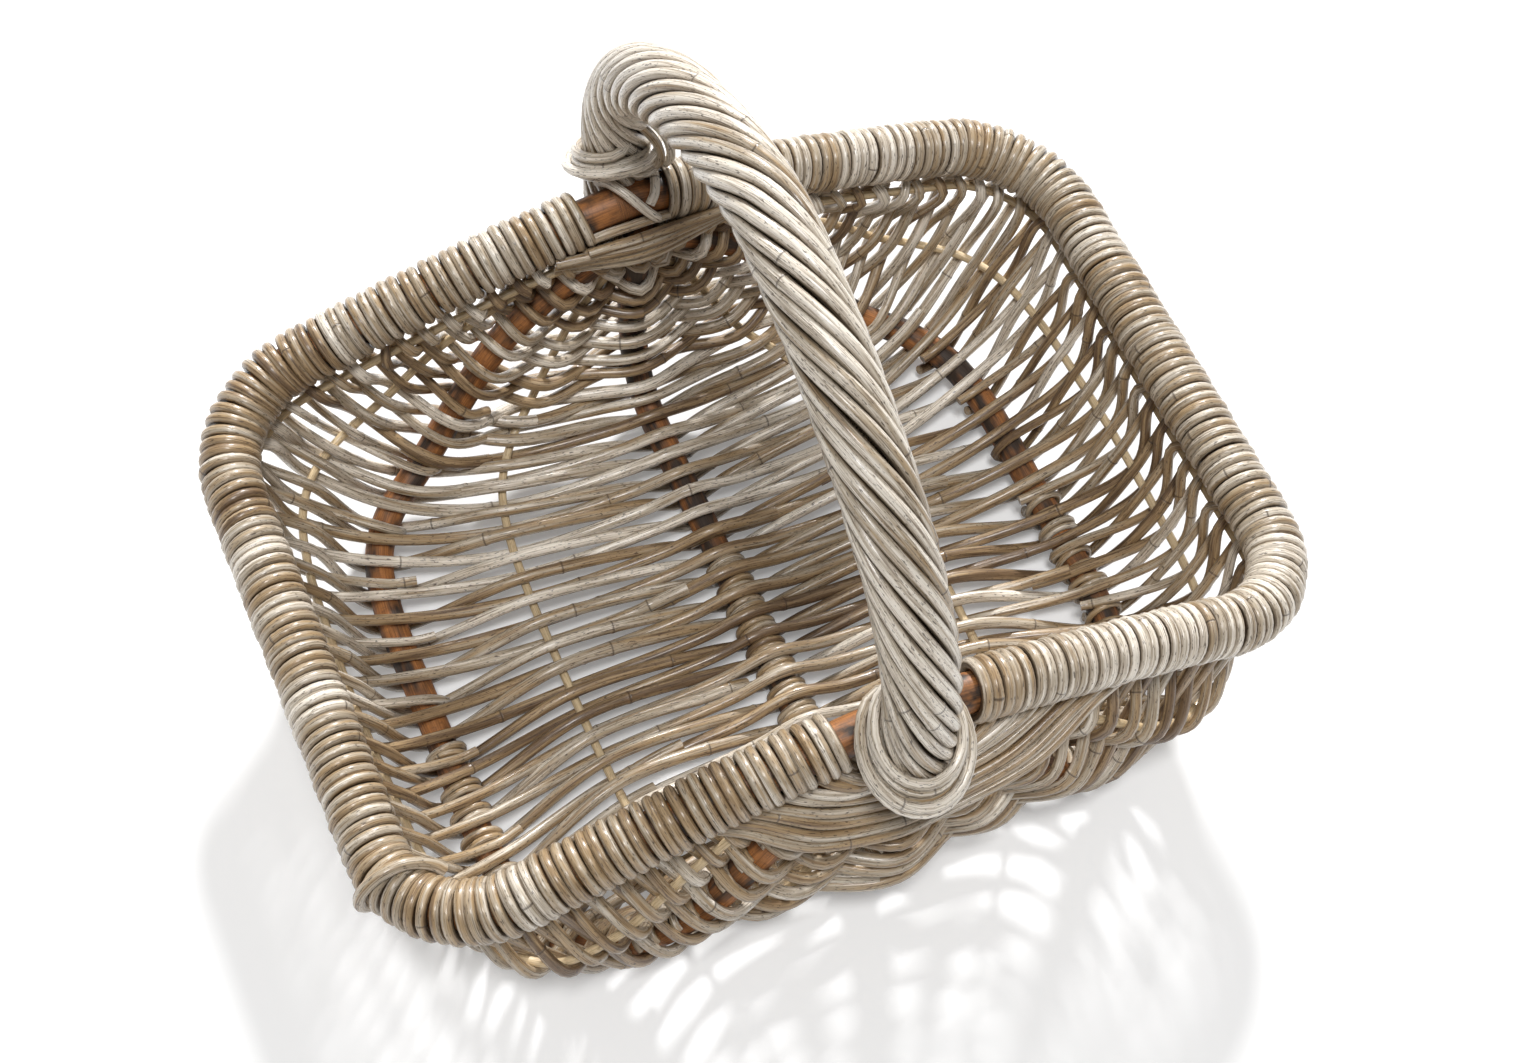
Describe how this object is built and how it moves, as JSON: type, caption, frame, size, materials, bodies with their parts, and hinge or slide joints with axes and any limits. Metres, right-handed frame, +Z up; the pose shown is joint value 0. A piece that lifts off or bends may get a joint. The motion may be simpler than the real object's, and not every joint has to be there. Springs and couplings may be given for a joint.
{
  "type": "rattan shopping basket",
  "caption": "Rectangular rib basket of woven grey rattan, with a saddle-shaped lapped rim and one fixed roped handle arching across its middle.",
  "frame": {"origin": "under the middle of the basket, on the plane that it stands on", "axes": "+X along the basket's long side, +Y across it to the back, with the pictured front at -Y, +Z up; the handle arches in the plane X = 0"},
  "size_m": [0.5176, 0.4176, 0.3865],
  "materials": {
    "weathered_grey_cane": "matt, weathered grey bark of round cane",
    "peeled_rattan_pole": "satin, peeled and stained pole",
    "stained_rattan_rib": "satin, dark brown rib",
    "pale_split_stake": "satin, pale cream stake"
  },
  "bodies": {
    "root": {"rim_pole": "peeled_rattan_pole", "right_rim_lapping_1": "weathered_grey_cane", "right_rim_lapping_2": "weathered_grey_cane", "right_rim_lapping_3": "weathered_grey_cane", "right_rim_lapping_4": "weathered_grey_cane", "left_rim_lapping_1": "weathered_grey_cane", "left_rim_lapping_2": "weathered_grey_cane", "left_rim_lapping_3": "weathered_grey_cane", "left_rim_lapping_4": "weathered_grey_cane", "keel_rib": "stained_rattan_rib", "right_side_rib": "stained_rattan_rib", "left_side_rib": "stained_rattan_rib", "right_inner_stake": "pale_split_stake", "right_outer_stake": "pale_split_stake", "right_top_stake": "pale_split_stake", "left_inner_stake": "pale_split_stake", "left_outer_stake": "pale_split_stake", "left_top_stake": "pale_split_stake", "right_floor_weave": "weathered_grey_cane", "left_floor_weave": "weathered_grey_cane", "right_side_weave": "weathered_grey_cane", "left_side_weave": "weathered_grey_cane", "handle_core": "peeled_rattan_pole", "handle_roping": "weathered_grey_cane", "back_foot_binding": "weathered_grey_cane", "front_foot_binding": "weathered_grey_cane"}
  },
  "joints": []
}
